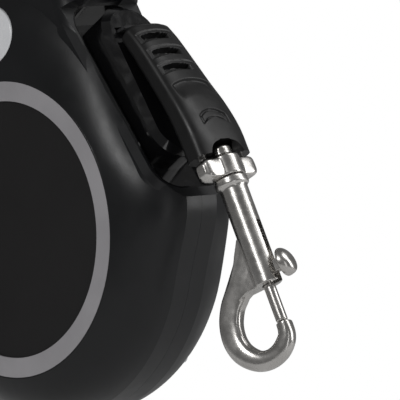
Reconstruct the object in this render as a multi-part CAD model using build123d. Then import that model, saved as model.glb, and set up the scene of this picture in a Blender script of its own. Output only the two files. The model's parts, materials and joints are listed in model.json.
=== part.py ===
from build123d import *
import os
from math import asin, atan2, cos, degrees, hypot, pi, radians, sin

# Retractable tape leash. Every size is in millimetres. The parts are drawn with the spool's axis
# at the origin: +X forward to the nose, +Z up, Y through the thickness. save() then moves each
# one so that the origin is the middle of the handle's grip bar.

# ---- housing ----
HALF_THICK = 22.0        # outer face of the trim rings
DRUM_R = 57.5            # rim of the round housing
BAND_HALF = 6.0          # half width of the flat band round the rim
DOME_SAG = 3.0           # bulge of the side between the ring and the band
RING_OUT_R = 44.5
RING_IN_R = 38.6
DOME_START_R = 44.9      # flat lip round the ring ends here
RING_THICK = 1.4
DISC_DROP = 0.7          # the side disc lies this much lower than the ring
DISC_THICK = 1.2
SHOULDER = 16.5          # how far the side swells out towards the handle
CHIN = 4.6               # the same below the nose
SHELL_GAP = 0.06         # parting gap between the two shells
CAVITY_R = 55.0
INNER_HALF = 18.0        # inside face of each shell beside the spool

# ---- handle ----
HOLE_R = 13.5            # the finger hole is a stadium between these two centres
HOLE_FRONT = (-12.3, 90.3)
HOLE_REAR = (-58.3, 58.3)
BAR = 22.0               # grip bar, from the finger hole to the palm
FINGER_REST = (21.2, 96)  # front of the column, below the button
WAIST = (-81.1, 31.1)    # where the rear of the handle turns in to the drum
HEEL = (-56.9, -8)
HANDLE_HALF = 16.0
HANDLE_ROUND = 7.0
PAD_LENGTH = 46.0
PAD_HALF = 8.0
PAD_DEPTH = 2.4
PAD_PROUD = 0.7

# ---- badge ----
BADGE_AT = (-13.4, 57.2)
BADGE_RX = 12.7
BADGE_RZ = 9.6
BADGE_SEAT = 19.0        # distance of its back from the middle plane
BADGE_LEAN = 9.0
BADGE_THICK = 1.7

# ---- nose ----
NOSE_ANGLE = 40.0        # its opening faces this far above +X
NOSE_FACE = 54.7         # the opening's distance from the spool axis
NOSE_LOW = -27.0         # ends of the nose along the opening
NOSE_HIGH = 43.0
NOSE_HALF = 14.4
NOSE_BEVEL = 1.7         # depth of the bevel round the opening
NOSE_SPREAD = 2.1        # how far the bevel stands out at its back
NOSE_TAPER = 7.0         # behind the bevel the sides spread this much
NOSE_BROW = 41.5         # the face is cut flat up to here along the opening
NOSE_CORNER = 9.5
NOSE_BACK = 26.0
BEZEL_WALL = 0.5
BEZEL_FLOOR = 49.8
BEZEL_BASE = 1.4
BEZEL_LIP = 0.9          # the bezel's rim is set in from the nose's edge by this
COLLAR_ANGLE = 36.0      # the collar faces a little lower than the nose
COLLAR_LOW = -12.5
COLLAR_HIGH = 40.0
COLLAR_HALF = 10.5
COLLAR_BACK = 48.0
COLLAR_TOP = 60.4
COLLAR_EDGE = 2.0

# ---- tape and spool ----
TAPE_WIDTH = 12.0
TAPE_THICK = 0.8
COIL_R = 41.0            # 5 m of tape on the hub
HUB_R = 17.0
PIVOT = (33.6, 62.0)     # where the tape enters the grip
GUIDE_R = 1.6
TEETH = 24
TOOTH_ROOT_R = 44.5
TOOTH_TIP_R = 47.5
FLANGE_IN = 6.5
FLANGE_OUT = 8.0
AXLE_R = 4.0
RUN_GAP = 0.05           # running clearance of the spool on its axle
CUP_R = 34.0
CUP_WALL = 1.6
CUP_END = 17.0

# ---- brake ----
BUTTON_X = 6.2
BUTTON_HALF_X = 7.0
BUTTON_HALF_Y = 7.0
BUTTON_FOOT = 107.0
BUTTON_PROUD = 4.5
BUTTON_TRAVEL = 3.5
FIT = 0.4                # gap round a part that slides in the housing
PLUNGER_Y = -8.7
PLUNGER_TIP = 48.2
LOCK_X = -14.0
LOCK_TRAVEL = 3.5
LOCK_HALF_X = 7.0
LOCK_HALF_Y = 4.0
LOCK_FOOT = 121.2
LOCK_TOP = 126.9

# ---- leash end: places along the hook's shaft count down it from its swivel ----
HOOK_AT = (74.75, 15.93) # where the hook's shaft meets its swivel
HOOK_ANGLE = 29.3        # the shaft's lean from straight down
HOOK_TURN = 24.0         # the hook is turned this far about its shaft, with the knob towards +Y
SHAFT_R = 4.3
SHAFT_END = 32.2
COLLAR_DISC_R = 5.2      # collar at the top of the shaft
POST_R = 2.1
POST_GAP = 0.1           # running clearance of the post in the swivel loop
BORE_R = 2.15
PIN_R = 1.8
PIN_TIP = 44.2
STEM_AT = 27.8           # the knob's stem
KNOB_R = 4.5
KNOB_FOOT = 6.2          # the knob's flat side, out from the shaft's axis
KNOB_HIGH = 3.9
BOLT_TRAVEL = 9.5
HOOK_HALF = 2.8
LOOP_HALF = 10.4
LOOP_TOP = (61.6, 34.8)  # the swivel loop's upper bar, inside the grip
LOOP_ARM = 7.6
LOOP_ROD = 1.3
BOSS_R = 5.0
RIVET_TOP = -13.0
RIVET_R = 3.4

BAR_SLOPE = atan2(HOLE_FRONT[1] - HOLE_REAR[1], HOLE_FRONT[0] - HOLE_REAR[0])
HOLE_MID = ((HOLE_FRONT[0] + HOLE_REAR[0]) / 2, (HOLE_FRONT[1] + HOLE_REAR[1]) / 2)
HOLE_SPAN = hypot(HOLE_FRONT[0] - HOLE_REAR[0], HOLE_FRONT[1] - HOLE_REAR[1])
BAR_OUT = (-sin(BAR_SLOPE), cos(BAR_SLOPE))
BAR_AT = (
    HOLE_MID[0] + (HOLE_R + BAR / 2) * BAR_OUT[0],
    HOLE_MID[1] + (HOLE_R + BAR / 2) * BAR_OUT[1],
)
TAPE_DIRECTION = atan2(PIVOT[1], PIVOT[0]) - asin((COIL_R + TAPE_THICK / 2) / hypot(*PIVOT))


# ---- drawing helpers ----
def slab(sketch, y_low, y_high):
    """Thicken an XZ sketch between two values of Y."""
    face = Plane((0, y_high, 0), x_dir=(1, 0, 0), z_dir=(0, -1, 0)) * sketch
    return extrude(face, amount=y_high - y_low)


def disc(radius, y_low, y_high):
    return slab(Circle(radius), y_low, y_high)


def at_polar(radius, angle):
    return (radius * cos(angle), radius * sin(angle))


def block(x_low, x_high, y_low, y_high, z_low, z_high):
    box = Box(x_high - x_low, y_high - y_low, z_high - z_low)
    middle = ((x_low + x_high) / 2, (y_low + y_high) / 2, (z_low + z_high) / 2)
    return Pos(*middle) * box


def nose_plane(distance, facing=NOSE_ANGLE):
    """Plane across the nose: x runs up along the opening, the normal points out of it."""
    angle = radians(facing)
    origin = (distance * cos(angle), 0, distance * sin(angle))
    return Plane(origin, x_dir=(-sin(angle), 0, cos(angle)), z_dir=(cos(angle), 0, sin(angle)))


def nose_prism(low, high, half, corner, start, end):
    outline = Pos((low + high) / 2, 0) * RectangleRounded(high - low, 2 * half, corner)
    return extrude(nose_plane(start) * outline, amount=end - start)


def hook_axes(turn):
    """The shaft's direction, and outward and sideways from it when turned about it."""
    lean = radians(HOOK_ANGLE)
    down = Vector(sin(lean), 0, -cos(lean))
    out = Vector(cos(lean), 0, sin(lean)).rotate(Axis((0, 0, 0), down), -turn)
    return down, out, out.cross(-down)


def hook_point(along, outward=0.0, turn=HOOK_TURN):
    down, out, _ = hook_axes(turn)
    return Vector(HOOK_AT[0], 0, HOOK_AT[1]) + down * along + out * outward


def hook_rod(radius, start, end):
    down, out, _ = hook_axes(0.0)
    return extrude(Plane(hook_point(start), x_dir=out, z_dir=down) * Circle(radius), amount=end - start)


def hook_side(sketch, half, turn=HOOK_TURN):
    """Thicken a sketch in the hook's own plane: x is outward, -y is down the shaft."""
    _, out, side = hook_axes(turn)
    return extrude(Plane(hook_point(0.0) - side * half, x_dir=out, z_dir=side) * sketch, amount=2 * half)


def mirrored(solid):
    return mirror(solid, about=Plane.XZ)


# ---- housing ----
def swell(angle, middle, half_width):
    """1 at one direction round the drum, falling smoothly to 0 on both sides of it."""
    away = (degrees(angle) - middle) / half_width
    if abs(away) >= 1.0:
        return 0.0
    return cos(away * pi / 2) ** 2


def rim_radius(angle):
    """Outline of the drum: round, but swollen towards the handle and at the nose's chin."""
    return DRUM_R + SHOULDER * swell(angle, 100.0, 64.0) + CHIN * swell(angle, 12.0, 22.0)


def drum_section(share):
    """Closed curve round the side, from the ring's edge (share 0) to the band (share 1)."""
    bulge = 4 * DOME_SAG * share * (1 - share)
    reach = share + 0.777 * bulge / (DRUM_R - DOME_START_R)
    height = HALF_THICK - (HALF_THICK - BAND_HALF) * share + 0.631 * bulge
    points = []
    for step in range(36):
        angle = radians(10 * step - 90)
        # the side stays nearly flat between the ring and the finger hole, where the badge is
        local_reach = reach ** (1 - 0.6 * swell(angle, 104.0, 48.0))
        radius = DOME_START_R + (rim_radius(angle) - DOME_START_R) * local_reach
        points.append(Vector(radius * cos(angle), -height, radius * sin(angle)))
    return Wire([Edge.make_spline(points, periodic=True)])


def drum_half():
    """One half of the drum, on the -Y side."""
    sections = [drum_section(share) for share in (0, 0.25, 0.5, 0.75, 1)]
    dome = Solid.make_loft(sections)
    band = extrude(Face(sections[-1]), amount=BAND_HALF, dir=(0, 1, 0))
    return dome + band


def handle_outline():
    """The loop handle from the nose, over the button and the palm side, down into the drum."""
    reach = HOLE_R + BAR
    front_top = (HOLE_FRONT[0], HOLE_FRONT[1] + reach)
    bar_front = (HOLE_FRONT[0] + reach * BAR_OUT[0], HOLE_FRONT[1] + reach * BAR_OUT[1])
    bar_rear = (HOLE_REAR[0] + reach * BAR_OUT[0], HOLE_REAR[1] + reach * BAR_OUT[1])
    rear = (HOLE_REAR[0] - reach, HOLE_REAR[1])
    rearward = (-cos(BAR_SLOPE), -sin(BAR_SLOPE))
    into_drum = (0.766, -0.643)
    edges = [
        Line((0, 0), (24, 60)),
        Line((24, 60), (19.5, 68.5)),
        Spline((19.5, 68.5), (17.6, 77), FINGER_REST, tangents=((-0.45, 0.9), (0.05, 1))),
        Spline(FINGER_REST, (13.8, 114.5), front_top, tangents=((0.05, 1), (-1, 0.02))),
        Spline(front_top, bar_front, tangents=((-1, 0.02), rearward)),
        Line(bar_front, bar_rear),
        Spline(bar_rear, rear, WAIST, tangents=(rearward, into_drum)),
        Spline(WAIST, HEEL, tangents=(into_drum, (0.14, -0.99))),
        Line(HEEL, (0, 0)),
    ]
    return make_face(edges)


def finger_hole():
    slope = degrees(BAR_SLOPE)
    stadium = SlotCenterToCenter(HOLE_SPAN, 2 * HOLE_R)
    return slab(Pos(*HOLE_MID) * Rot(0, 0, slope) * stadium, -40, 40)


def edges_at(solid, y_value, inside_hole):
    """Edges of the handle at one side face, either round its outside or round the hole."""
    found = []
    for edge in solid.edges():
        middle = edge.center()
        in_drum = hypot(middle.X, middle.Z) < 70
        if abs(abs(middle.Y) - y_value) > 0.01 or in_drum and not inside_hole:
            continue
        x, z = middle.X - HOLE_MID[0], middle.Z - HOLE_MID[1]
        off_line = x * BAR_OUT[0] + z * BAR_OUT[1]
        near_hole = abs(off_line) < HOLE_R + 1 and hypot(x, z) < HOLE_SPAN / 2 + HOLE_R + 1
        if near_hole == inside_hole:
            found.append(edge)
    return found


def handle_blank():
    handle = slab(handle_outline(), -HANDLE_HALF, HANDLE_HALF)
    handle = fillet(edges_at(handle, HANDLE_HALF, False), HANDLE_ROUND)
    handle = handle - finger_hole()
    return fillet(edges_at(handle, HANDLE_HALF, True), 5.0)


def nose_layer(distance, spread, depth, taper):
    """Rounded block that goes back from a distance along the nose, its sides spreading."""
    front = nose_plane(distance)
    inward = Plane(front.origin, x_dir=front.x_dir, z_dir=-front.z_dir)
    length = NOSE_HIGH - NOSE_LOW + 2 * spread
    outline = RectangleRounded(length, 2 * (NOSE_HALF + spread), NOSE_CORNER + spread)
    return extrude(inward * Pos((NOSE_LOW + NOSE_HIGH) / 2, 0) * outline, amount=depth, taper=-taper)


def nose_blank():
    """Block behind the opening: a bevel round its edge, then sides that run into the drum."""
    bevel = nose_layer(NOSE_FACE, 0.0, NOSE_BEVEL, degrees(atan2(NOSE_SPREAD, NOSE_BEVEL)))
    back = NOSE_FACE - NOSE_BEVEL
    return bevel + nose_layer(back, NOSE_SPREAD, back - NOSE_BACK, NOSE_TAPER)


def nose_trim():
    """Everything in front of the nose's face, as far up as the brow."""
    box = Box(NOSE_BROW + 60, 80, 40, align=(Align.MAX, Align.CENTER, Align.MIN))
    return nose_plane(NOSE_FACE) * Pos(NOSE_BROW, 0, 0) * box


def ring_pocket(depth):
    return disc(RING_OUT_R, -HALF_THICK - 1, depth - HALF_THICK)


def badge_plate(grow, low, high):
    """Oval plate that leans with the housing's side; low and high count outward from its seat."""
    lean = radians(BADGE_LEAN)
    around = atan2(BADGE_AT[1], BADGE_AT[0])
    outward = (sin(lean) * cos(around), -cos(lean), sin(lean) * sin(around))
    plane = Plane((BADGE_AT[0], -BADGE_SEAT, BADGE_AT[1]), x_dir=(1, 0, 0), z_dir=outward)
    oval = Ellipse(BADGE_RX + grow, BADGE_RZ + grow)
    return extrude(plane.offset(low) * oval, amount=high - low)


def palm_strip(grow, low, high):
    """Rounded strip along the top of the grip bar, between two distances from the hole's line."""
    across = HOLE_R + BAR
    middle = (HOLE_MID[0] + across * BAR_OUT[0], 0, HOLE_MID[1] + across * BAR_OUT[1])
    forward = (cos(BAR_SLOPE), 0, sin(BAR_SLOPE))
    plane = Plane(middle, x_dir=forward, z_dir=(BAR_OUT[0], 0, BAR_OUT[1]))
    outline = RectangleRounded(PAD_LENGTH + 2 * grow, 2 * (PAD_HALF + grow), PAD_HALF - 1 + grow)
    return extrude(plane.offset(low) * outline, amount=high - low)


def housing_cavity():
    """Room for the spool, with a corner cut off where the side domes in."""
    profile = Polyline(
        (0, INNER_HALF),
        (46.5, INNER_HALF),
        (CAVITY_R, 9),
        (CAVITY_R, -9),
        (46.5, -INNER_HALF),
        (0, -INNER_HALF),
        close=True,
    )
    return revolve(make_face(Plane.XY * profile), Axis.Y)


def brake_room():
    """Shaft in the front column for the plunger, its foot and the return spring."""
    return block(BUTTON_X - 3.0, BUTTON_X + 3.0, -10.7, 6.0, 45, BUTTON_FOOT)


def button_well(grow, foot):
    return block(
        BUTTON_X - BUTTON_HALF_X - grow,
        BUTTON_X + BUTTON_HALF_X + grow,
        -BUTTON_HALF_Y - grow,
        BUTTON_HALF_Y + grow,
        foot,
        140,
    )


def lock_well(grow):
    front = LOCK_X + LOCK_HALF_X + LOCK_TRAVEL + grow
    half = LOCK_HALF_Y + grow
    return block(LOCK_X - LOCK_HALF_X - grow, front, -half, half, LOCK_FOOT - 0.7, 130)


def nose_opening(inset, start, end):
    """Prism with the opening's outline, drawn in by inset, between two distances along the nose."""
    return nose_prism(
        NOSE_LOW + inset,
        NOSE_HIGH - inset,
        NOSE_HALF - inset,
        NOSE_CORNER - inset,
        start,
        end,
    )


SCREW_R = 1.2
SCREW_HEAD_R = 2.3
SCREW_SEAT = 12.0
RIM_POSTS = [at_polar(53.0, radians(angle)) for angle in (-45, -135)]
HANDLE_SCREWS = [(-12.3, 112.5), (-82.5, 58.0), (-63.0, 24.0), (-1.0, 67.0)]
SCREWS = HANDLE_SCREWS + RIM_POSTS


def rim_posts():
    """Posts inside the rim that two of the screws run through."""
    return [slab(Pos(x, z) * Circle(2.3), -12.5, 12.5) for x, z in RIM_POSTS]


def screw_holes():
    holes = []
    for x, z in SCREWS:
        holes.append(slab(Pos(x, z) * Circle(SCREW_R), -9.0, 30.0))
        holes.append(slab(Pos(x, z) * Circle(SCREW_HEAD_R + 0.2), SCREW_SEAT, 30.0))
    return holes


def screws():
    solids = []
    for x, z in SCREWS:
        shank = slab(Pos(x, z) * Circle(SCREW_R), -9.0, SCREW_SEAT)
        head = slab(Pos(x, z) * Circle(SCREW_HEAD_R), SCREW_SEAT, SCREW_SEAT + 1.8)
        socket = slab(Pos(x, z) * RegularPolygon(1.3, 6), SCREW_SEAT + 0.8, SCREW_SEAT + 2)
        solids.append(shank + head - socket)
    return solids


def housing_blank():
    half = drum_half()
    return half + mirrored(half) + handle_blank() - nose_trim() + nose_blank()


def hollow_housing():
    housing = housing_blank() - housing_cavity() - finger_hole()
    housing = housing - nose_opening(BEZEL_LIP, BEZEL_FLOOR - BEZEL_BASE, NOSE_FACE + 20)
    for post in rim_posts():
        housing = housing + post
    for hole in screw_holes():
        housing = housing - hole
    housing = housing - ring_pocket(RING_THICK) - mirrored(ring_pocket(RING_THICK))
    housing = housing - disc(RING_IN_R, -HALF_THICK, DISC_DROP + DISC_THICK - HALF_THICK)
    housing = housing - disc(RING_IN_R, HALF_THICK - DISC_DROP - DISC_THICK, HALF_THICK)
    badge_room = badge_plate(0.1, 0.0, 9.0)
    housing = housing - badge_room - mirrored(badge_room)
    housing = housing - palm_strip(0.05, -PAD_DEPTH, 4)
    housing = housing - brake_room() - button_well(FIT, BUTTON_FOOT - BUTTON_TRAVEL - 0.6)
    housing = housing - lock_well(FIT)
    return housing - tape_slot() - guide_pins(0.05)


def shell(housing, side):
    """One half of the housing: side -1 is -Y, side +1 is +Y."""
    room = 60.0
    middle = side * (room / 2 + SHELL_GAP / 2)
    half = housing & (Pos(-20, middle, 30) * Box(300, room, 300))
    return half


# ---- trims ----
def trim_ring():
    ring = disc(RING_OUT_R, -HALF_THICK, RING_THICK - HALF_THICK)
    return ring - disc(RING_IN_R, -HALF_THICK - 1, RING_THICK + 1 - HALF_THICK)


def side_disc():
    return disc(RING_IN_R, DISC_DROP - HALF_THICK, DISC_DROP + DISC_THICK - HALF_THICK)


def badge():
    plate = badge_plate(0.0, 0.0, BADGE_THICK)
    front = plate.faces().sort_by(Axis.Y)[0]
    return fillet(front.edges(), 0.6)


def palm_pad():
    pad = palm_strip(0.0, -PAD_DEPTH, PAD_PROUD)
    outward = Axis((0, 0, 0), (BAR_OUT[0], 0, BAR_OUT[1]))
    return fillet(pad.faces().sort_by(outward)[-1].edges(), 0.6)


# ---- nose ----
def nose_bezel():
    """Thin tray that lines the opening, with room for the collar and the tape."""
    liner = nose_opening(BEZEL_LIP, BEZEL_FLOOR - BEZEL_BASE, NOSE_FACE)
    liner = liner - nose_opening(BEZEL_LIP + BEZEL_WALL, BEZEL_FLOOR, NOSE_FACE + 1)
    return liner - collar_blank() - tape_slot()


def collar_blank():
    middle = (COLLAR_LOW + COLLAR_HIGH) / 2
    outline = RectangleRounded(COLLAR_HIGH - COLLAR_LOW, 2 * COLLAR_HALF, COLLAR_HALF - 1.0)
    plane = nose_plane(COLLAR_BACK, COLLAR_ANGLE)
    return extrude(plane * Pos(middle, 0) * outline, amount=COLLAR_TOP - COLLAR_BACK)


def tape_collar():
    collar = collar_blank()
    forward = Axis((0, 0, 0), nose_plane(0, COLLAR_ANGLE).z_dir)
    collar = chamfer(collar.faces().sort_by(forward)[-1].edges(), COLLAR_EDGE)
    return collar - tape_slot()


# ---- tape ----
def along_tape(distance, off=0.0):
    """A point before (minus) or past the pivot on the tape's line, and off to its upper side."""
    x = PIVOT[0] + distance * cos(TAPE_DIRECTION) - off * sin(TAPE_DIRECTION)
    z = PIVOT[1] + distance * sin(TAPE_DIRECTION) + off * cos(TAPE_DIRECTION)
    return (x, z)


def tape_path(thick, width, start, end):
    corners = [
        along_tape(start, -thick / 2),
        along_tape(end, -thick / 2),
        along_tape(end, thick / 2),
        along_tape(start, thick / 2),
    ]
    return slab(make_face(Polyline(*corners, close=True)), -width / 2, width / 2)


def tape_slot():
    return tape_path(2.4, TAPE_WIDTH + 2, -30, 12)


def tape_run():
    length = hypot(*PIVOT) * cos(asin((COIL_R + TAPE_THICK / 2) / hypot(*PIVOT)))
    return tape_path(TAPE_THICK, TAPE_WIDTH, -length + 2, -0.3)


def guide_pins(grow):
    """Two pins that the tape passes between on its way out."""
    pins = []
    for side in (-1, 1):
        x, z = along_tape(-21, side * (TAPE_THICK / 2 + GUIDE_R + 0.4))
        pins.append(slab(Pos(x, z) * Circle(GUIDE_R + grow), -12.0 - grow, 12.0 + grow))
    return pins


def tape_coil():
    coil = disc(COIL_R - 0.3, -TAPE_WIDTH / 2, TAPE_WIDTH / 2)
    return coil - disc(HUB_R, -TAPE_WIDTH, TAPE_WIDTH)


# ---- spool ----
def tooth(index):
    pitch = 2 * pi / TEETH
    # the gap below the brake's plunger is at the plunger's own angle
    middle = atan2(TOOTH_TIP_R, BUTTON_X) + pitch / 2 + index * pitch
    corners = [
        at_polar(TOOTH_ROOT_R - 1, middle - 0.26 * pitch),
        at_polar(TOOTH_TIP_R, middle - 0.16 * pitch),
        at_polar(TOOTH_TIP_R, middle + 0.16 * pitch),
        at_polar(TOOTH_ROOT_R - 1, middle + 0.26 * pitch),
    ]
    return slab(make_face(Polyline(*corners, close=True)), -FLANGE_OUT, -FLANGE_IN)


def spool():
    """Hub and toothed flange in one piece, with a cup on the far side for the mainspring."""
    body = disc(TOOTH_ROOT_R, -FLANGE_OUT, -FLANGE_IN)
    for index in range(TEETH):
        body = body + tooth(index)
    body = body + disc(HUB_R, -FLANGE_OUT, FLANGE_IN)
    hole = disc(AXLE_R + 1.5 + RUN_GAP, -FLANGE_OUT - 1, FLANGE_IN + 1)
    return body - hole


def spool_bush():
    bush = disc(AXLE_R + 1.5 + RUN_GAP, -FLANGE_OUT - 1.2, FLANGE_IN)
    return bush - disc(AXLE_R + RUN_GAP, -FLANGE_OUT - 2, FLANGE_IN + 1)


def spool_cover():
    """Plain flange that closes the tape side and carries the mainspring's cup."""
    flange = disc(TOOTH_ROOT_R, FLANGE_IN, FLANGE_OUT) + disc(CUP_R, FLANGE_IN, CUP_END)
    flange = flange - disc(CUP_R - CUP_WALL, FLANGE_OUT, CUP_END + 1)
    return flange - disc(AXLE_R + RUN_GAP + 4.5, FLANGE_IN - 1, CUP_END + 1)


def mainspring():
    """Flat steel strip wound in a spiral between the arbor and the cup."""
    inner_r = 9.0
    outer_r = CUP_R - CUP_WALL - 1.0
    turns = 7
    strip = 0.5
    sides = []
    for shift in (0, strip):
        points = []
        for step in range(turns * 12 + 1):
            angle = radians(30 * step)
            radius = inner_r + (outer_r - inner_r) * step / (turns * 12) + shift
            points.append(at_polar(radius, angle))
        sides.append(Spline(*points))
    ends = [Line(sides[0] @ 0, sides[1] @ 0), Line(sides[0] @ 1, sides[1] @ 1)]
    return slab(make_face(sides + ends), FLANGE_OUT + 0.4, CUP_END - 0.6)


def spring_arbor():
    arbor = disc(8.4, FLANGE_OUT + 0.3, CUP_END + 0.5)
    return arbor - disc(AXLE_R, FLANGE_OUT, CUP_END + 1)


def axle():
    return disc(AXLE_R, -INNER_HALF, INNER_HALF)


# ---- brake ----
def button_crown():
    """The handle's outline moved up and forward, which gives the button's top its curve."""
    forward = Pos(0.64 * BUTTON_PROUD, 0, 0.77 * BUTTON_PROUD)
    return forward * slab(handle_outline(), -20, 20)


def brake_button():
    cap = button_well(0.0, BUTTON_FOOT) & button_crown()
    return fillet(cap.edges().filter_by(Axis.Z), 1.2)


def brake_plunger():
    """Bar from the button down to the spool's teeth, with a foot that the spring pushes on."""
    foot = block(BUTTON_X - 2.6, BUTTON_X + 2.6, -10.3, 5.6, BUTTON_FOOT - 3, BUTTON_FOOT)
    bar = block(BUTTON_X - 2.3, BUTTON_X + 2.3, PLUNGER_Y - 1.6, PLUNGER_Y + 1.6, 56, BUTTON_FOOT - 3)
    tip = block(BUTTON_X - 1.8, BUTTON_X + 1.8, PLUNGER_Y + 0.2, PLUNGER_Y + 1.6, PLUNGER_TIP, 56)
    return foot + bar + tip


def button_spring():
    spring_r = 2.1
    bottom, top = 83.0, BUTTON_FOOT - 3.4
    path = Pos(BUTTON_X, 0.6, bottom) * Helix(pitch=2.9, height=top - bottom, radius=spring_r)
    section = Plane(path @ 0, z_dir=path % 0) * Circle(0.4)
    return sweep(section, path=path, is_frenet=True)


def lock_slider():
    """Ribbed thumb slide behind the button."""
    front, rear = LOCK_X + LOCK_HALF_X, LOCK_X - LOCK_HALF_X
    slide = block(rear, front, -LOCK_HALF_Y, LOCK_HALF_Y, LOCK_FOOT, LOCK_TOP)
    slide = fillet(slide.edges().filter_by(Axis.Z), 1.5)
    for step in range(5):
        x = LOCK_X - 4 + 2 * step
        slide = slide - block(x - 0.4, x + 0.4, -5, 5, LOCK_TOP - 0.8, LOCK_TOP + 1)
    return slide


# ---- leash end ----
GRIP_LINE = (
    (35.2, 61.2),
    (40.5, 56.6),
    (47.0, 50.2),
    (53.5, 43.9),
    (59.4, 37.8),
    (64.4, 31.2),
    (68.6, 24.3),
)
GRIP_WIDTH = (17.6, 17.8, 18.2, 18.8, 19.8, 20.8, 21.2)
GRIP_THICK = (6.0, 7.0, 7.4, 7.6, 8.2, 9.0, 9.4)
SLOT_LENGTH = 11.5
SLOT_WIDE = 1.9
SLOT_DEEP = 2.6


def grip_curve():
    return Spline(*[(x, 0, z) for x, z in GRIP_LINE])


def grip_blank():
    line = grip_curve()
    sections = []
    count = len(GRIP_LINE)
    for index in range(count):
        share = index / (count - 1)
        plane = Plane(line @ share, x_dir=(0, 1, 0), z_dir=line % share)
        thick = GRIP_THICK[index]
        sections.append(plane * RectangleRounded(GRIP_WIDTH[index], thick, thick * 0.38))
    return loft(sections)


def grip_slot(share, thick):
    """Cross slot in the grip's outer face, where the grip is this thick."""
    line = grip_curve()
    plane = Plane(line @ share, x_dir=(0, 1, 0), z_dir=line % share)
    outward = plane.y_dir if plane.y_dir.X > 0 else -plane.y_dir
    floor = Plane(line @ share + outward * (thick / 2 - SLOT_DEEP), x_dir=(0, 1, 0), z_dir=outward)
    outline = RectangleRounded(SLOT_LENGTH, SLOT_WIDE, SLOT_WIDE * 0.48)
    return extrude(floor * outline, amount=SLOT_DEEP + 3)


def tape_route():
    return Spline(GRIP_LINE[0], GRIP_LINE[2], (LOOP_TOP[0] - 1.6, LOOP_TOP[1] + 2.6))


def tape_loop():
    """Doubled tape, sewn, from the grip's upper end round the swivel's top bar."""
    half = TAPE_WIDTH / 2
    strap = slab(trace(tape_route(), line_width=2 * TAPE_THICK), -half, half)
    eye = slab(Pos(*LOOP_TOP) * Circle(LOOP_ROD + 2 * TAPE_THICK), -half, half)
    return strap + eye - slab(Pos(*LOOP_TOP) * Circle(LOOP_ROD), -20, 20)


def rod(start, end, radius):
    path = Vector(*end) - Vector(*start)
    return extrude(Plane(start, z_dir=path) * Circle(radius), amount=path.length)


def swivel_loop():
    """Closed loop: a thick lower bar with a boss for the post, and a round upper bar."""
    loop = hook_side(Pos(0, 5.8) * RectangleRounded(6.4, 6.4, 2.0), LOOP_HALF, turn=0.0)
    loop = loop + hook_rod(BOSS_R, -9.4, -2.9)
    loop = loop + slab(Pos(*LOOP_TOP) * Circle(LOOP_ROD), -LOOP_ARM, LOOP_ARM)
    foot = hook_point(-6.0)
    for side in (-1, 1):
        corner = (LOOP_TOP[0], side * LOOP_ARM, LOOP_TOP[1])
        loop = loop + rod(corner, (foot.X, side * LOOP_ARM, foot.Z), LOOP_ROD)
        loop = loop + Pos(*corner) * Sphere(LOOP_ROD)
    return loop - hook_rod(POST_R + POST_GAP, -12, 0)


def tape_mouth():
    x, z = GRIP_LINE[0]
    half = TAPE_WIDTH / 2 + 0.2
    return slab(Pos(x - 1, z + 1) * Rot(0, 0, -41) * Rectangle(4, 2), -half, half)


def loop_channel():
    """Room in the grip for the swivel loop's arms and upper bar."""
    foot = hook_point(-6.0)
    arms = LOOP_ARM + LOOP_ROD + 0.2
    channel = trace(Line(LOOP_TOP, (foot.X, foot.Z)), line_width=2 * LOOP_ROD + 0.4)
    return slab(channel, -arms, arms) + slab(Pos(*LOOP_TOP) * Circle(LOOP_ROD + 0.2), -arms, arms)


def tape_channel():
    half = TAPE_WIDTH / 2 + 0.2
    strap = slab(trace(tape_route(), line_width=2 * TAPE_THICK + 0.3), -half, half)
    return strap + slab(Pos(*LOOP_TOP) * Circle(LOOP_ROD + 2 * TAPE_THICK + 0.2), -half, half)


def grip_sleeve():
    grip = grip_blank()
    for share, thick in ((0.10, 6.0), (0.22, 7.0), (0.34, 7.4)):
        grip = grip - grip_slot(share, thick)
    grip = grip - tape_channel() - loop_channel() - tape_mouth()
    rivet_room = hook_rod(RIVET_R + 0.9, RIVET_TOP - 1.2, 5)
    rivet_room = rivet_room + hook_side(Pos(5, 11.6) * Rectangle(10, 5.2), RIVET_R + 0.9, turn=0.0)
    bar_room = hook_side(Pos(0, 4.0) * Rectangle(30, 10.6), 20, turn=0.0)
    return grip - rivet_room - bar_room


# ---- hook ----
def swivel_post():
    """Riveted post that lets the hook turn in the loop."""
    head = hook_rod(RIVET_R, RIVET_TOP, -9.6)
    down, _, _ = hook_axes(0.0)
    top_edge = head.edges().filter_by(GeomType.CIRCLE).sort_by(Axis((0, 0, 0), down))[0]
    return fillet(top_edge, 0.7) + hook_rod(POST_R, -9.8, 1.0)


def hook_outline():
    """The bend, from the shaft's back round to the tip, and back along the eye."""
    outer = Spline(
        (-SHAFT_R, -15.0),
        (-9.3, -23.7),
        (-16.5, -32.3),
        (-19.9, -43.0),
        (-15.9, -52.3),
        (-7.3, -56.1),
        (0.7, -52.2),
        (2.6, -44.8),
        tangents=((0, -1), (0, 1)),
    )
    inner = Spline(
        (-2.0, -44.8),
        (-3.4, -48.0),
        (-6.4, -49.8),
        (-10.2, -48.4),
        (-12.6, -43.6),
        (-11.9, -38.4),
        (-9.3, -34.4),
        (-6.9, -32.7),
        (-SHAFT_R, -32.0),
    )
    edges = [
        outer,
        Line(outer @ 1, inner @ 0),
        inner,
        Line(inner @ 1, (-1.0, -32.0)),
        Line((-1.0, -32.0), (-1.0, -15.0)),
        Line((-1.0, -15.0), outer @ 0),
    ]
    return make_face(edges)


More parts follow.
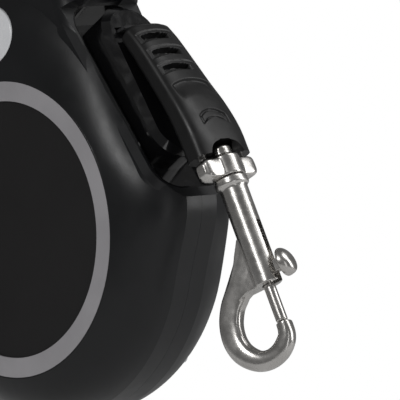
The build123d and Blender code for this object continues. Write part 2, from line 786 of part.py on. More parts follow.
def hook_body():
    plate = hook_side(hook_outline(), HOOK_HALF)
    plate = chamfer([edge for edge in plate.edges() if edge.length > 50], 1.2)
    collar = hook_rod(COLLAR_DISC_R, -2.6, 0.4)
    collar = fillet(collar.edges().filter_by(GeomType.CIRCLE), 0.6)
    body = plate + hook_rod(SHAFT_R, 0.0, SHAFT_END) + collar
    slot = hook_side(Pos(3.0, -23.0) * Rectangle(6.0, 21.0), 1.6)
    body = body - hook_rod(BORE_R, 8.0, SHAFT_END + 1) - slot
    return body - hook_rod(POST_R, -3.0, 1.0) - hook_rod(PIN_R + 0.25, 38.0, PIN_TIP + 0.35)


def hook_bolt():
    """Sliding bolt with the thumb knob on its stem."""
    pin = hook_rod(PIN_R, 20.0, PIN_TIP)
    stem = hook_side(Pos(KNOB_FOOT / 2 + 0.2, -STEM_AT) * Rectangle(KNOB_FOOT + 0.4, 3.6), 1.35)
    down, out, _ = hook_axes(HOOK_TURN)
    face = Plane(hook_point(STEM_AT, KNOB_FOOT), x_dir=down, z_dir=out)
    knob = extrude(face * Circle(KNOB_R), amount=KNOB_HIGH)
    top_edge = knob.edges().filter_by(GeomType.CIRCLE).sort_by(Axis((0, 0, 0), out))[-1]
    return pin + stem + fillet(top_edge, 3.0)


def bolt_spring():
    spring_r = 1.5
    start, end = 9.0, 19.6
    down, out, _ = hook_axes(0.0)
    path = Plane(hook_point(start), x_dir=out, z_dir=down) * Helix(1.5, end - start, spring_r)
    section = Plane(path @ 0, z_dir=path % 0) * Circle(0.25)
    return sweep(section, path=path, is_frenet=True)


# ---- write the nodes ----
def save(node, solids):
    if not isinstance(solids, list):
        solids = [solids]
    pieces = []
    for item in solids:
        pieces.extend(Pos(-BAR_AT[0], 0, -BAR_AT[1]) * solid for solid in item.solids())
    export_step(pieces[0] if len(pieces) == 1 else Compound(pieces), f"parts/{node}.step")


os.makedirs("parts", exist_ok=True)
housing = hollow_housing()
save("left_shell", shell(housing, -1))
save("right_shell", shell(housing, 1))
for node, solid in (("trim_ring", trim_ring()), ("side_disc", side_disc()), ("badge", badge())):
    save(f"left_{node}", solid)
    save(f"right_{node}", mirrored(solid))
save("palm_pad", palm_pad())
save("nose_bezel", nose_bezel())
save("tape_collar", tape_collar())
save("guide_pins", guide_pins(0.0))
save("housing_screws", screws())
save("axle", axle())
save("spring_arbor", spring_arbor())
save("mainspring", mainspring())
save("spool", spool())
save("spool_bush", spool_bush())
save("spool_cover", spool_cover())
save("tape_coil", tape_coil())
save("tape_run", tape_run())
save("brake_button", brake_button())
save("brake_plunger", brake_plunger())
save("button_spring", button_spring())
save("lock_slider", lock_slider())
save("grip_sleeve", grip_sleeve())
save("tape_loop", tape_loop())
save("swivel_loop", swivel_loop())
save("swivel_post", swivel_post())
save("hook_body", hook_body())
save("hook_bolt", hook_bolt())
save("bolt_spring", bolt_spring())
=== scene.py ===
import json
import math

import bmesh
import bpy
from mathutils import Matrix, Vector


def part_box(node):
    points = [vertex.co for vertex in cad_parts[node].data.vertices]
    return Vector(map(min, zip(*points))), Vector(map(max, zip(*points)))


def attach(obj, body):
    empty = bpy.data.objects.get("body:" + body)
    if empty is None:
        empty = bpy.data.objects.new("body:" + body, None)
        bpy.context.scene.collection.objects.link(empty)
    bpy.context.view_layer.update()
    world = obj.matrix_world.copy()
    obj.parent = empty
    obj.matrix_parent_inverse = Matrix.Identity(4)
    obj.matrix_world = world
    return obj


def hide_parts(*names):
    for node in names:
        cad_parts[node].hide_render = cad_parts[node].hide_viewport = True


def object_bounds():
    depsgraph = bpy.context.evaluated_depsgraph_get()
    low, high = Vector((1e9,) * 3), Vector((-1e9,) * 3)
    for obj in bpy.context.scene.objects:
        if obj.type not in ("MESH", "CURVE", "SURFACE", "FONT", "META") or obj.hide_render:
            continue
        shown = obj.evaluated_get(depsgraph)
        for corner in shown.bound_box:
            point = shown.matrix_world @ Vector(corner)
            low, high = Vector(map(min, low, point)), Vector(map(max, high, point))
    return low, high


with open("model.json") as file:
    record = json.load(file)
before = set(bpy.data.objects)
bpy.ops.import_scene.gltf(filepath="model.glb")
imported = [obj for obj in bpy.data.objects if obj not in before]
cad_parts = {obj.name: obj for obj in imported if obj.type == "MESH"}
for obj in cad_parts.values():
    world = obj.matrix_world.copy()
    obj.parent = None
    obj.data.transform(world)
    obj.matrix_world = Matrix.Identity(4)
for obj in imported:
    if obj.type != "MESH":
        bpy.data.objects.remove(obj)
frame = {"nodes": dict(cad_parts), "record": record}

CAD_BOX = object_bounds()
MM = 0.001

# The spool's axis, in the middle plane: places on the leash are counted from it, in millimetres.
ring_low, ring_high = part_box("left_trim_ring")
SPOOL = Vector(((ring_low.x + ring_high.x) / 2, 0, (ring_low.z + ring_high.z) / 2))


def at(x, y, z):
    """A place given in millimetres from the spool's axis."""
    return SPOOL + Vector((x, y, z)) * MM


# ---- materials ----
RIBS_PER_METRE = 190.0   # scale of the ribs woven across the tape


class Material:
    """A Principled material with its textures in metres, in the leash's own frame."""

    def __init__(self, name, roughness=0.5, metallic=0.0, **inputs):
        self.material = bpy.data.materials.new(name)
        self.material.use_nodes = True
        self.nodes = self.material.node_tree.nodes
        self.links = self.material.node_tree.links
        self.shader = self.nodes["Principled BSDF"]
        self.shader.inputs["Roughness"].default_value = roughness
        self.shader.inputs["Metallic"].default_value = metallic
        for socket, value in inputs.items():
            self.shader.inputs[socket.replace("_", " ")].default_value = value
        self.place = self.nodes.new("ShaderNodeTexCoord").outputs["Object"]

    def noise(self, size, detail=4.0, stretch=None):
        """Noise whose lumps are about size metres across."""
        texture = self.nodes.new("ShaderNodeTexNoise")
        texture.inputs["Scale"].default_value = 1.0 / size
        texture.inputs["Detail"].default_value = detail
        source = self.place
        if stretch is not None:
            mapping = self.nodes.new("ShaderNodeMapping")
            mapping.inputs["Scale"].default_value = stretch
            self.links.new(source, mapping.inputs["Vector"])
            source = mapping.outputs["Vector"]
        self.links.new(source, texture.inputs["Vector"])
        return texture.outputs["Fac"]

    def ramp(self, source, low, high, start=0.35, end=0.65):
        """Maps a grey texture to numbers between low and high."""
        node = self.nodes.new("ShaderNodeMapRange")
        node.inputs["From Min"].default_value = start
        node.inputs["From Max"].default_value = end
        node.inputs["To Min"].default_value = low
        node.inputs["To Max"].default_value = high
        self.links.new(source, node.inputs["Value"])
        return node.outputs["Result"]

    def colour(self, source, dark, light, start=0.35, end=0.65):
        node = self.nodes.new("ShaderNodeValToRGB")
        node.color_ramp.elements[0].position = start
        node.color_ramp.elements[0].color = (*dark, 1)
        node.color_ramp.elements[1].position = end
        node.color_ramp.elements[1].color = (*light, 1)
        self.links.new(source, node.inputs["Fac"])
        self.links.new(node.outputs["Color"], self.shader.inputs["Base Color"])

    def rough(self, source, low, high):
        self.links.new(self.ramp(source, low, high), self.shader.inputs["Roughness"])

    def bump(self, source, depth, below=None):
        """Relief of depth metres; below is a bump that this one lies over."""
        node = self.nodes.new("ShaderNodeBump")
        node.inputs["Distance"].default_value = depth
        self.links.new(source, node.inputs["Height"])
        if below is not None:
            self.links.new(below, node.inputs["Normal"])
        self.links.new(node.outputs["Normal"], self.shader.inputs["Normal"])
        return node.outputs["Normal"]


def shell_black():
    """Matt black moulding with a fine spark-eroded grain."""
    made = Material("shell_black", roughness=0.38, Specular_IOR_Level=0.36)
    broad = made.noise(0.02)
    made.colour(broad, (0.0060, 0.0064, 0.0072), (0.0082, 0.0086, 0.0098))
    made.rough(made.noise(0.006), 0.33, 0.39)
    made.bump(made.noise(0.0005, 3.0), 0.00001)
    return made.material


def ring_grey():
    made = Material("ring_grey", roughness=0.5)
    made.colour(made.noise(0.012), (0.355, 0.345, 0.360), (0.395, 0.384, 0.400))
    made.rough(made.noise(0.004), 0.45, 0.55)
    made.bump(made.noise(0.0004, 3.0), 0.00001)
    return made.material


def disc_black():
    made = Material("disc_black", roughness=0.5, Specular_IOR_Level=0.36)
    made.colour(made.noise(0.03), (0.0076, 0.0070, 0.0073), (0.0100, 0.0093, 0.0097))
    made.rough(made.noise(0.008), 0.44, 0.52)
    made.bump(made.noise(0.0005, 3.0), 0.000012)
    return made.material


def badge_white():
    made = Material("badge_white", roughness=0.25)
    made.colour(made.noise(0.01), (0.80, 0.81, 0.83), (0.87, 0.88, 0.90))
    made.rough(made.noise(0.003), 0.2, 0.3)
    made.bump(made.noise(0.002), 0.00001)
    return made.material


def gloss_black():
    """Polished black moulding: faint ripple, and handling marks in its gloss."""
    made = Material("gloss_black", roughness=0.08)
    made.colour(made.noise(0.02), (0.0045, 0.0045, 0.005), (0.0065, 0.0065, 0.007))
    made.rough(made.noise(0.003, 6.0), 0.05, 0.13)
    made.bump(made.noise(0.006), 0.00003)
    return made.material


def soft_black():
    """Soft-touch rubber, slightly uneven in its sheen where hands have worn it."""
    made = Material("soft_black", roughness=0.4, Specular_IOR_Level=0.4)
    made.colour(made.noise(0.008), (0.0045, 0.0045, 0.0047), (0.0068, 0.0068, 0.0070))
    made.rough(made.noise(0.004), 0.34, 0.44)
    made.bump(made.noise(0.0004, 3.0), 0.000012)
    return made.material


def control_black():
    made = Material("control_black", roughness=0.4)
    made.colour(made.noise(0.01), (0.014, 0.014, 0.015), (0.02, 0.02, 0.021))
    made.rough(made.noise(0.003), 0.34, 0.45)
    made.bump(made.noise(0.0005, 3.0), 0.00001)
    return made.material


def nickel():
    """Polished nickel plate over a casting: soft dents, rubbed streaks, duller in the lows."""
    made = Material("nickel", roughness=0.2, metallic=1.0)
    made.colour(made.noise(0.008, 5.0), (0.50, 0.487, 0.468), (0.62, 0.605, 0.585))
    made.rough(made.noise(0.003, 5.0), 0.21, 0.30)
    low = made.bump(made.noise(0.005, 2.0), 0.00006)
    made.bump(made.noise(0.0008, 2.0), 0.000002, below=low)
    return made.material


def steel():
    made = Material("steel", roughness=0.28, metallic=1.0)
    made.colour(made.noise(0.003), (0.48, 0.49, 0.5), (0.6, 0.61, 0.62))
    made.rough(made.noise(0.0008, 5.0), 0.2, 0.36)
    made.bump(made.noise(0.0006), 0.00001)
    return made.material


def spring_steel():
    made = Material("spring_steel", roughness=0.3, metallic=1.0)
    made.colour(made.noise(0.004), (0.16, 0.18, 0.23), (0.3, 0.31, 0.34))
    made.rough(made.noise(0.001), 0.25, 0.4)
    made.bump(made.noise(0.0006), 0.00001)
    return made.material


def spool_white():
    made = Material("spool_white", roughness=0.45)
    made.colour(made.noise(0.01), (0.6, 0.6, 0.58), (0.7, 0.7, 0.68))
    made.rough(made.noise(0.003), 0.38, 0.5)
    made.bump(made.noise(0.0006), 0.00001)
    return made.material


def brass():
    made = Material("brass", roughness=0.25, metallic=1.0)
    made.colour(made.noise(0.003), (0.6, 0.42, 0.18), (0.75, 0.56, 0.28))
    made.rough(made.noise(0.001), 0.2, 0.35)
    made.bump(made.noise(0.0006), 0.00001)
    return made.material


def tape_black():
    """Woven nylon: fine ribs across the tape, broken up by the thread's own grain."""
    made = Material("tape_black", roughness=0.75, Sheen_Weight=0.15)
    ribs = made.nodes.new("ShaderNodeTexWave")
    ribs.wave_type = "BANDS"
    ribs.bands_direction = "X"
    ribs.inputs["Scale"].default_value = RIBS_PER_METRE
    ribs.inputs["Distortion"].default_value = 0.8
    ribs.inputs["Detail Scale"].default_value = 3.0
    made.links.new(made.place, ribs.inputs["Vector"])
    made.colour(ribs.outputs["Fac"], (0.008, 0.008, 0.009), (0.024, 0.024, 0.026), 0.1, 0.9)
    made.rough(made.noise(0.0006), 0.65, 0.85)
    low = made.bump(ribs.outputs["Fac"], 0.00012)
    made.bump(made.noise(0.0004, 2.0, stretch=(1, 0.3, 1)), 0.00006, below=low)
    return made.material


MATERIALS = {
    "shell_black": shell_black(),
    "ring_grey": ring_grey(),
    "disc_black": disc_black(),
    "badge_white": badge_white(),
    "gloss_black": gloss_black(),
    "soft_black": soft_black(),
    "control_black": control_black(),
    "nickel": nickel(),
    "steel": steel(),
    "spring_steel": spring_steel(),
    "spool_white": spool_white(),
    "brass": brass(),
    "tape_black": tape_black(),
}


def dress(piece, slot):
    piece.data.materials.clear()
    piece.data.materials.append(MATERIALS[slot])


for subpart in frame["record"]["subparts"]:
    dress(frame["nodes"][subpart["node"]], subpart["material_slot"])

# ---- mesh tools ----
def mesh_object(name, vertices, faces):
    mesh = bpy.data.meshes.new(name)
    mesh.from_pydata(vertices, [], faces)
    shape = bmesh.new()
    shape.from_mesh(mesh)
    bmesh.ops.recalc_face_normals(shape, faces=shape.faces)
    shape.to_mesh(mesh)
    shape.free()
    piece = bpy.data.objects.new(name, mesh)
    bpy.context.scene.collection.objects.link(piece)
    return piece


# a box whose corners are listed by down, then out, then side
BOX_FACES = [(0, 1, 3, 2), (4, 6, 7, 5), (0, 4, 5, 1), (2, 3, 7, 6), (0, 2, 6, 4), (1, 5, 7, 3)]
SUBSTEPS = 30            # points of a smooth curve between two given rows


def skin(name, rings):
    """Closed skin over a list of rings of points, with a fan at each end."""
    count = len(rings[0])
    vertices = [point for ring in rings for point in ring]
    faces = []
    for row in range(len(rings) - 1):
        for step in range(count):
            after = (step + 1) % count
            low, high = row * count, (row + 1) * count
            faces.append((low + step, low + after, high + after, high + step))
    for row in (0, len(rings) - 1):
        middle = len(vertices)
        vertices.append(sum(rings[row], Vector()) / count)
        for step in range(count):
            faces.append((row * count + step, row * count + (step + 1) % count, middle))
    return mesh_object(name, vertices, faces)


def superellipse(across, through, half_across, half_through, power, count):
    """Points round an oval (power 2) or a rounded box (power 4 and more)."""
    points = []
    for step in range(count):
        turn = 2 * math.pi * step / count
        c, s = math.cos(turn), math.sin(turn)
        reach = (abs(c) ** power + abs(s) ** power) ** (-1 / power)
        points.append(across * (half_across * reach * c) + through * (half_through * reach * s))
    return points


def smooth_curve(points, count):
    """Evenly spaced rows of numbers on a Catmull-Rom curve through the given rows."""
    rows = [Vector(point) for point in points]
    padded = [rows[0] * 2 - rows[1], *rows, rows[-1] * 2 - rows[-2]]
    fine = []
    for a, b, c, d in zip(padded, padded[1:], padded[2:], padded[3:]):
        for step in range(SUBSTEPS):
            t = step / SUBSTEPS
            cubic = (b * 3 - a - c * 3 + d) * t ** 3
            fine.append((b * 2 + (c - a) * t + (a * 2 - b * 5 + c * 4 - d) * t * t + cubic) / 2)
    fine.append(rows[-1])
    lengths = [0.0]
    for before, after in zip(fine, fine[1:]):
        lengths.append(lengths[-1] + (after - before).length)
    even = []
    index = 0
    for step in range(count):
        wanted = lengths[-1] * step / (count - 1)
        while index < len(fine) - 2 and lengths[index + 1] < wanted:
            index += 1
        share = (wanted - lengths[index]) / (lengths[index + 1] - lengths[index])
        even.append(fine[index].lerp(fine[index + 1], share))
    return even


def apply_modifiers(piece):
    """Bakes a piece's modifiers into its mesh."""
    depsgraph = bpy.context.evaluated_depsgraph_get()
    made = bpy.data.meshes.new_from_object(piece.evaluated_get(depsgraph))
    piece.modifiers.clear()
    piece.data = made
    made.name = piece.name


def cast(name, parts, voxel, rounds):
    """One casting from parts that overlap: joined, rounded where they meet, and smoothed."""
    vertices = []
    faces = []
    for part in parts:
        start = len(vertices)
        vertices.extend(vertex.co.copy() for vertex in part.data.vertices)
        faces.extend([start + index for index in polygon.vertices] for polygon in part.data.polygons)
        bpy.data.objects.remove(part)
    piece = mesh_object(name, vertices, faces)
    remesh = piece.modifiers.new("remesh", "REMESH")
    remesh.mode = "VOXEL"
    remesh.voxel_size = voxel
    relax = piece.modifiers.new("relax", "SMOOTH")
    relax.factor = 0.5
    relax.iterations = rounds
    apply_modifiers(piece)
    return piece


def cut(piece, *tools):
    for tool in tools:
        boolean = piece.modifiers.new("cut", "BOOLEAN")
        boolean.operation = "DIFFERENCE"
        boolean.object = tool
        boolean.solver = "EXACT"
    apply_modifiers(piece)
    for tool in tools:
        bpy.data.objects.remove(tool)


def finish_piece(piece, slot, body, *nodes, sharp=40):
    """Gives a piece its material and its body, and hides the CAD nodes that it stands for."""
    for polygon in piece.data.polygons:
        polygon.use_smooth = True
    piece.data.set_sharp_from_angle(angle=math.radians(sharp))
    dress(piece, slot)
    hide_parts(*nodes)
    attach(piece, body)


# ---- leash end: the hook's shaft leans forward and down from its swivel ----
joints = {joint["name"]: joint for joint in frame["record"]["behaviour"]["joints"]}
SWIVEL = Vector(joints["swivel_spin"]["pos_m"])
DOWN = Vector(joints["swivel_spin"]["axis"]).normalized()
ACROSS = Vector((0, 1, 0))
AHEAD = Vector((-DOWN.z, 0, DOWN.x))
HOOK_TURN = math.radians(24)     # the hook hangs turned about its own shaft
OUT = AHEAD * math.cos(HOOK_TURN) + ACROSS * math.sin(HOOK_TURN)
SIDE = ACROSS * math.cos(HOOK_TURN) - AHEAD * math.sin(HOOK_TURN)
SHAFT_R = 4.3
SHAFT_END = 32.2
BORE_R = 2.15            # for the bolt, and for the post in the swivel's boss
PIN_R = 1.8
PIN_END = 44.2
STEM_AT = 27.8           # middle of the knob's stem, down the shaft
KNOB_R = 4.5
KNOB_FOOT = 6.7
KNOB_HIGH = 3.4
KNOB_LEAN = 1.3          # the knob's crown leans this much towards the hook's tip
HOOK_HALF = 2.8
LOOP_HALF = 10.4         # half length of the swivel's lower bar
ARM_AT = 7.6             # the swivel's arms are this far from the middle plane
ROD_R = 1.3
LOOP_TOP = at(61.6, 0, 34.8)


def on_hook(down, out=0.0, side=0.0):
    return SWIVEL + (DOWN * down + OUT * out + SIDE * side) * MM


def turned(name, profile, count=72):
    """Turned piece on the shaft's axis from (radius, place down the shaft) pairs."""
    rings = []
    for radius, down in profile:
        circle = superellipse(OUT, SIDE, radius * MM, radius * MM, 2, count)
        rings.append([on_hook(down) + point for point in circle])
    return skin(name, rings)


def shaft_box(name, down_range, out_range, half, out=OUT, side=SIDE):
    """Box along the shaft; out and side are the directions of its other edges."""
    vertices = []
    for down in down_range:
        for ahead in out_range:
            for across in (-half, half):
                vertices.append(SWIVEL + (DOWN * down + out * ahead + side * across) * MM)
    return mesh_object(name, vertices, BOX_FACES)


def hook_bend():
    """The J of the hook: boxy where it leaves the shaft, round in its bowl."""
    line = smooth_curve(
        [   # out, down, half width
            (-1.5, 19.0, 3.2),
            (-6.2, 26.0, 4.0),
            (-10.5, 30.6, 3.7),
            (-13.4, 33.8, 3.5),
            (-15.6, 38.2, 3.5),
            (-16.3, 43.0, 3.6),
            (-15.4, 47.2, 3.6),
            (-13.2, 50.4, 3.4),
            (-10.4, 52.5, 3.15),
            (-7.0, 53.1, 3.0),
            (-3.7, 52.2, 2.95),
            (-1.2, 50.2, 2.8),
            (0.0, 48.2, 2.5),
            (0.3, 46.1, 2.3),
            (0.3, 44.7, 2.25),
        ],
        90,
    )
    rings = []
    for index, row in enumerate(line):
        before, after = line[max(index - 1, 0)], line[min(index + 1, len(line) - 1)]
        along = (OUT * (after.x - before.x) + DOWN * (after.y - before.y)).normalized()
        across = along.cross(SIDE)
        bowl = min(1.0, max(0.0, (row.y - 36) / 12))
        power = 3.4 - 1.1 * bowl
        oval = superellipse(across, SIDE, row.z * MM, HOOK_HALF * MM, power, 48)
        rings.append([on_hook(row.y, row.x) + point for point in oval])
    return skin("bend", rings)


def hook_web():
    """Plate between the shaft and the top of the bend."""
    outline = [(-1, 15), (-4.0, 16), (-8.5, 24.0), (-12.5, 29.5)]
    outline += [(-9.4, 33.2), (-6.8, 32.1), (-1, 32.1)]
    rings = []
    for side in (-2.7, 2.7):
        rings.append([on_hook(down, out, side) for out, down in outline])
    return skin("web", rings)


def hook_casting():
    shaft = [(0.2, -2.6), (4.8, -2.6), (5.2, -2.2), (5.2, -0.3), (4.8, 0.1), (4.45, 0.3)]
    shaft += [(SHAFT_R, 0.8), (SHAFT_R, SHAFT_END - 0.1), (0.2, SHAFT_END)]
    hook = cast("hook_casting", [turned("shaft", shaft), hook_bend(), hook_web()], 0.2 * MM, 5)
    bore = turned("bore", [(BORE_R, 8.0), (BORE_R, SHAFT_END + 3)])
    slot = shaft_box("slot", (12.5, 33.5), (0.5, 6.5), 1.6)
    socket = turned("socket", [(PIN_R + 0.25, 40.0), (PIN_R + 0.25, PIN_END + 0.35)])
    cut(hook, bore, slot, socket)
    finish_piece(hook, "nickel", "hook", "hook_body")


def swivel_rivet():
    """Riveted post head with the turning marks left in its rim."""
    head = [(0.1, -13.1), (1.6, -13.05), (2.8, -12.8), (3.3, -12.3), (3.4, -11.9), (3.4, -11.6)]
    head += [(3.25, -11.5), (3.25, -11.35), (3.4, -11.25), (3.4, -10.9), (3.22, -10.8), (3.22, -10.6)]
    head += [(3.4, -10.5), (3.4, -10.1), (3.0, -9.7), (2.1, -9.5), (2.1, -0.5), (0.1, -0.5)]
    finish_piece(turned("swivel_rivet", head), "nickel", "hook", "swivel_post")


def knob():
    base = superellipse(DOWN, SIDE, (KNOB_R - 0.3) * MM, (KNOB_R - 0.3) * MM, 2, 64)
    rings = [[on_hook(STEM_AT, KNOB_FOOT - 0.45) + point for point in base]]
    steps = 16
    for step in range(steps + 1):
        turn = math.pi / 2 * step / steps
        radius = KNOB_R * max(math.cos(turn), 0.02) ** 0.8
        lift = KNOB_FOOT + KNOB_HIGH * math.sin(turn)
        shift = STEM_AT + KNOB_LEAN * math.sin(turn) ** 2
        oval = superellipse(DOWN, SIDE, radius * MM, radius * MM, 2, 64)
        rings.append([on_hook(shift, lift) + point for point in oval])
    return skin("knob", rings)


def thumb_bolt():
    """Bolt, stem and thumb knob."""
    tip = PIN_END - 0.5
    profile = [(0.1, 20), (1.5, 20), (PIN_R, 20.4), (PIN_R, tip), (1.5, PIN_END), (0.1, PIN_END)]
    pin = turned("pin", profile)
    stem = shaft_box("stem", (STEM_AT - 1.8, STEM_AT + 1.8), (0.0, 6.8), 1.35)
    bolt = cast("thumb_bolt", [pin, stem, knob()], 0.16 * MM, 3)
    finish_piece(bolt, "nickel", "bolt", "hook_bolt")


def lower_bar():
    """Thick bar whose ends draw in to rounded corners."""
    steps = 20
    rings = []
    for step in range(-steps, steps + 1):
        share = step / steps
        full = max((1 - share ** 12) ** 0.5, 0.55)
        oval = superellipse(AHEAD, DOWN, 3.1 * MM * full, 3.2 * MM * full, 5, 48)
        centre = SWIVEL - DOWN * 5.8 * MM + ACROSS * share * LOOP_HALF * MM
        rings.append([centre + point for point in oval])
    return skin("bar", rings)


def round_rod(name, start, end, across, through):
    circle = superellipse(across, through, ROD_R * MM, ROD_R * MM, 2, 24)
    return skin(name, [[place + point for point in circle] for place in (start, end)])


def loop_arm(side):
    start = LOOP_TOP + ACROSS * side * ARM_AT * MM
    end = SWIVEL - DOWN * 6 * MM + ACROSS * side * ARM_AT * MM
    run = (end - start).normalized()
    return round_rod("arm", start, end, ACROSS, run.cross(ACROSS))


def swivel_frame():
    """Cast loop: a thick lower bar, a boss for the post and two arms up into the grip."""
    profile = [(0.2, -9.4), (4.6, -9.4), (5.0, -9.0), (5.0, -3.2), (4.7, -2.9), (0.2, -2.9)]
    ends = [LOOP_TOP + ACROSS * side * (ARM_AT + 1) * MM for side in (-1, 1)]
    parts = [
        lower_bar(),
        turned("boss", profile),
        loop_arm(-1),
        loop_arm(1),
        round_rod("upper_bar", *ends, AHEAD, DOWN),
    ]
    loop = cast("swivel_frame", parts, 0.22 * MM, 5)
    cut(loop, turned("bore", [(BORE_R + 0.05, -12), (BORE_R + 0.05, 0)]))
    finish_piece(loop, "nickel", "leash_end", "swivel_loop")


# ---- soft grip: a moulded sleeve over the tape's end ----
GRIP = (     # across the leash's middle plane: place, width and thickness
    (35.0, 60.4, 17.4, 6.4),
    (40.3, 56.0, 17.8, 7.2),
    (46.8, 49.8, 18.4, 7.6),
    (53.3, 43.5, 19.2, 7.8),
    (59.3, 37.5, 20.4, 8.4),
    (64.5, 31.0, 21.2, 9.2),
    (68.7, 24.1, 21.2, 9.4),
)
GRIP_RINGS = 330
RING_POINTS = 260
SLOTS = (6.2, 12.6, 19.0)        # places of the three cross slots along the grip
SLOT_DEPTH = 2.3
STEP_AT = 25.4                   # the last slot, which has an upper wall only
STEP_HALF = 7.8
CRESCENT_AT = 39.4
RIVET_ROOM = 4.3
ROOM_TOP = -14.4                 # upper end of the room for the rivet


def step_between(low, high, value):
    share = min(1.0, max(0.0, (value - low) / (high - low)))
    return share * share * (3 - 2 * share)


def groove(along, across, middle, half_across, half_along, bow):
    """1 on the floor of a cross slot and 0 outside it; a negative bow arches it upwards."""
    if abs(across) >= half_across:
        return 0.0
    arch = bow * (1 - (across / half_across) ** 2)
    ends = 1 - step_between(half_across - 0.9, half_across, abs(across))
    return ends * (1 - step_between(half_along - 0.3, half_along, abs(along - middle - arch)))


def grip_relief(along, across):
    """How deep in millimetres the grip's outer face is at a place on it."""
    depth = 0.0
    for middle in SLOTS:
        depth += 0.35 * groove(along, across, middle, 8.0, 2.1, -0.9)
        depth += SLOT_DEPTH * groove(along, across + 0.9, middle, 5.6, 1.25, -0.6)
    # below the step's wall the face rises again
    if abs(across) < STEP_HALF:
        past = along - STEP_AT + 1.6 * (1 - (across / STEP_HALF) ** 2)
        wall = step_between(-0.3, 0.3, past) * (1 - step_between(0.5, 7.0, past))
        depth += wall * (1 - step_between(STEP_HALF - 1.6, STEP_HALF, abs(across)))
    # the crescent stands up from a shallow outline
    depth += 0.6 * groove(along, across, CRESCENT_AT, 5.4, 1.7, -2.2)
    depth -= 0.4 * groove(along, across, CRESCENT_AT, 4.8, 1.1, -2.2)
    return depth


def grip_ring(place, run, half_wide, half_thick, along):
    """One section of the grip, across its run, with the relief of its outer face."""
    outward = ACROSS.cross(run)
    if outward.x < 0:
        outward = -outward
    drawn = 1 - 0.16 * (1 - step_between(0.0, 1.8, along)) ** 2
    ring = []
    for point in superellipse(ACROSS, outward, half_wide * drawn, half_thick * drawn, 3.6, RING_POINTS):
        height = point.dot(outward) / half_thick
        sink = step_between(0.25, 0.8, height) * grip_relief(along, point.y / MM)
        crown = 0.5 * max(0.0, height) * (1 - (point.y / half_wide) ** 2)
        ring.append(place + point + outward * (crown - sink) * MM)
    return ring


def rivet_notch():
    """Arch cut into the grip's lower edge, flared towards the front so that the rivet shows."""
    rings = []
    for ahead, half in ((-1.0, 4.2), (0.5, 4.4), (3.0, 6.4), (5.0, 8.2), (12.0, 10.0)):
        oval = superellipse(ACROSS, DOWN, half * MM, 7.0 * MM, 2.6, 72)
        centre = SWIVEL + (AHEAD * ahead - DOWN * 7.2) * MM
        rings.append([centre + point for point in oval])
    return skin("notch", rings)


def soft_grip():
    rows = [(*at(x, 0, z), wide * MM / 2, thick * MM / 2) for x, z, wide, thick in GRIP]
    line = smooth_curve(rows, GRIP_RINGS)
    rings = []
    along = 0.0
    for index, row in enumerate(line):
        place = Vector(row[:3])
        before, after = line[max(index - 1, 0)], line[min(index + 1, len(line) - 1)]
        along += (place - Vector(before[:3])).length / MM
        run = (Vector(after[:3]) - Vector(before[:3])).normalized()
        rings.append(grip_ring(place, run, row[3], row[4], along))
    grip = skin("soft_grip", rings)
    room = [(0.1, ROOM_TOP), (RIVET_ROOM, ROOM_TOP), (RIVET_ROOM, 6), (0.1, 6)]
    bar_room = shaft_box("bar_room", (-9.3, 8), (-14, 16), 20, out=AHEAD, side=ACROSS)
    cut(grip, turned("rivet_room", room), rivet_notch(), bar_room)
    finish_piece(grip, "soft_black", "leash_end", "grip_sleeve", sharp=50)


hook_casting()
swivel_rivet()
thumb_bolt()
swivel_frame()
soft_grip()

# ---- camera ----
AZIMUTH = math.radians(47.5)
ELEVATION = math.radians(4.6)
DISTANCE = 4.0
FRAME_WIDTH = 0.120      # what the picture's width spans at the target
back = Vector((
    math.sin(AZIMUTH) * math.cos(ELEVATION),
    -math.cos(AZIMUTH) * math.cos(ELEVATION),
    math.sin(ELEVATION),
))
right = Vector((math.cos(AZIMUTH), math.sin(AZIMUTH), 0))
up = back.cross(right)
target = at(0, -22, 0) + right * 0.0569 + up * 0.0089
camera_data = bpy.data.cameras.new("camera")
camera_data.lens = camera_data.sensor_width * DISTANCE / FRAME_WIDTH
camera_data.clip_start = 0.1
camera_data.clip_end = 60
camera = bpy.data.objects.new("camera", camera_data)
bpy.context.scene.collection.objects.link(camera)
camera.location = target + back * DISTANCE
camera.rotation_mode = "QUATERNION"
camera.rotation_quaternion = (-back).to_track_quat("-Z", "Y")
bpy.context.scene.camera = camera

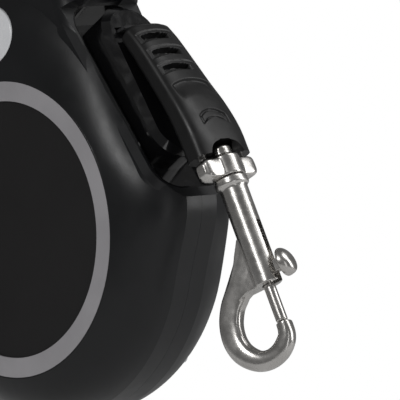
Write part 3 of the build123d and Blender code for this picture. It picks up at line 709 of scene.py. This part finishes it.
# ---- studio ----
def area_light(name, place, size, power):
    data = bpy.data.lights.new(name, "AREA")
    data.shape = "RECTANGLE"
    data.size, data.size_y = size
    data.energy = power
    light = bpy.data.objects.new(name, data)
    light.location = place
    light.rotation_mode = "QUATERNION"
    light.rotation_quaternion = (target - light.location).to_track_quat("-Z", "Y")
    bpy.context.scene.collection.objects.link(light)


LIGHTS = (               # name, place from the target, size, power
    ("key", (0.25, -1.15, 0.85), (0.4, 0.4), 6),
    ("rim", (1.0, 0.9, 0.5), (0.5, 1.4), 8),
    ("front", (1.5, -0.5, 0.1), (0.25, 1.2), 1.3),
    ("top", (0.6, 0.5, 1.3), (0.9, 0.6), 5),
)
for light_name, place, size, power in LIGHTS:
    area_light(light_name, target + Vector(place), size, power)

world = bpy.data.worlds.new("studio")
bpy.context.scene.world = world
world.use_nodes = True
tree = world.node_tree
# the camera sees white, and the leash is lit and reflected by a dim grey
surroundings = tree.nodes["Background"]
surroundings.inputs["Color"].default_value = (0.8, 0.8, 0.8, 1)
surroundings.inputs["Strength"].default_value = 0.2
seen = tree.nodes.new("ShaderNodeBackground")
seen.inputs["Color"].default_value = (1, 1, 1, 1)
seen.inputs["Strength"].default_value = 1.0
mix = tree.nodes.new("ShaderNodeMixShader")
rays = tree.nodes.new("ShaderNodeLightPath")
tree.links.new(rays.outputs["Is Camera Ray"], mix.inputs["Fac"])
tree.links.new(surroundings.outputs[0], mix.inputs[1])
tree.links.new(seen.outputs[0], mix.inputs[2])
tree.links.new(mix.outputs[0], tree.nodes["World Output"].inputs["Surface"])

FLOOR_DROP = 0.12
FLOOR_HALF = 0.7
floor_mesh = bpy.data.meshes.new("floor")
floor_z = CAD_BOX[0].z - FLOOR_DROP
corners = [(x * FLOOR_HALF, y * FLOOR_HALF, floor_z) for x, y in ((-1, -1), (1, -1), (1, 1), (-1, 1))]
floor_mesh.from_pydata(corners, [], [(0, 1, 2, 3)])
floor = bpy.data.objects.new("floor", floor_mesh)
bpy.context.scene.collection.objects.link(floor)
floor_material = Material("floor", roughness=0.9)
floor_material.colour(floor_material.noise(0.4), (0.82, 0.82, 0.82), (0.84, 0.84, 0.84))
floor_mesh.materials.append(floor_material.material)

bpy.context.scene.view_settings.view_transform = "Standard"
